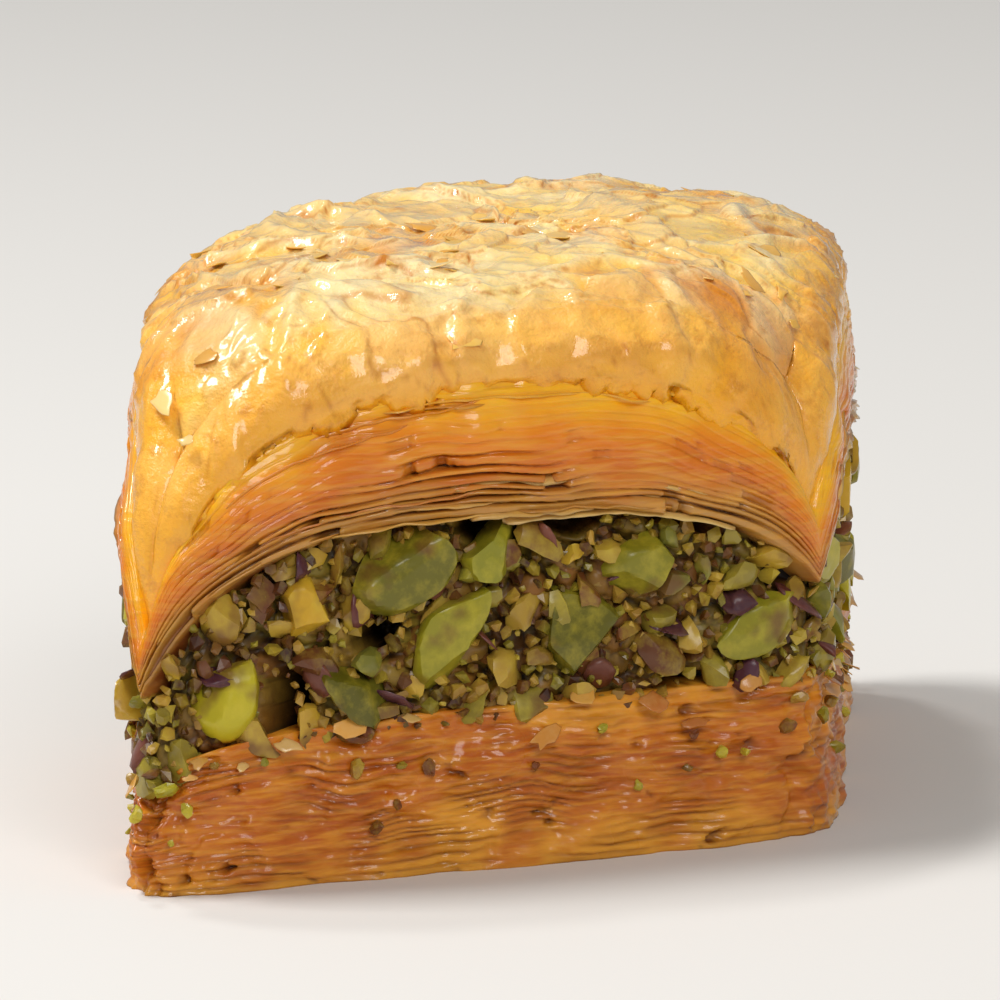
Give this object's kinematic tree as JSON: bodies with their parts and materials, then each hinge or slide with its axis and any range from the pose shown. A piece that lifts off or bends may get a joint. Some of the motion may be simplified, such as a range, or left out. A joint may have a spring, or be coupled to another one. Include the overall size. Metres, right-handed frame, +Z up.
{
  "type": "baklava piece",
  "caption": "Diamond-cut piece of pistachio baklava: soaked filo base, ground pistachio band and a domed stack of filo leaves, resting flat.",
  "frame": {"origin": "centre of the bounding box in X and Y, on the plane that the flat base rests on", "axes": "+X along the long diagonal of the diamond, +Y along its short diagonal, +Z up through the layers"},
  "size_m": [0.0526, 0.0336, 0.0246],
  "materials": {
    "soaked_pastry": "filo leaves pressed together and soaked in syrup, amber, moist",
    "ground_pistachio": "coarsely ground pistachio, green kernel pieces in an olive-brown crumb",
    "baked_pastry": "baked filo leaves, golden, glazed with syrup"
  },
  "bodies": {
    "root": {"pastry_base": "soaked_pastry", "pistachio_filling": "ground_pistachio", "pastry_top": "baked_pastry"}
  },
  "joints": []
}
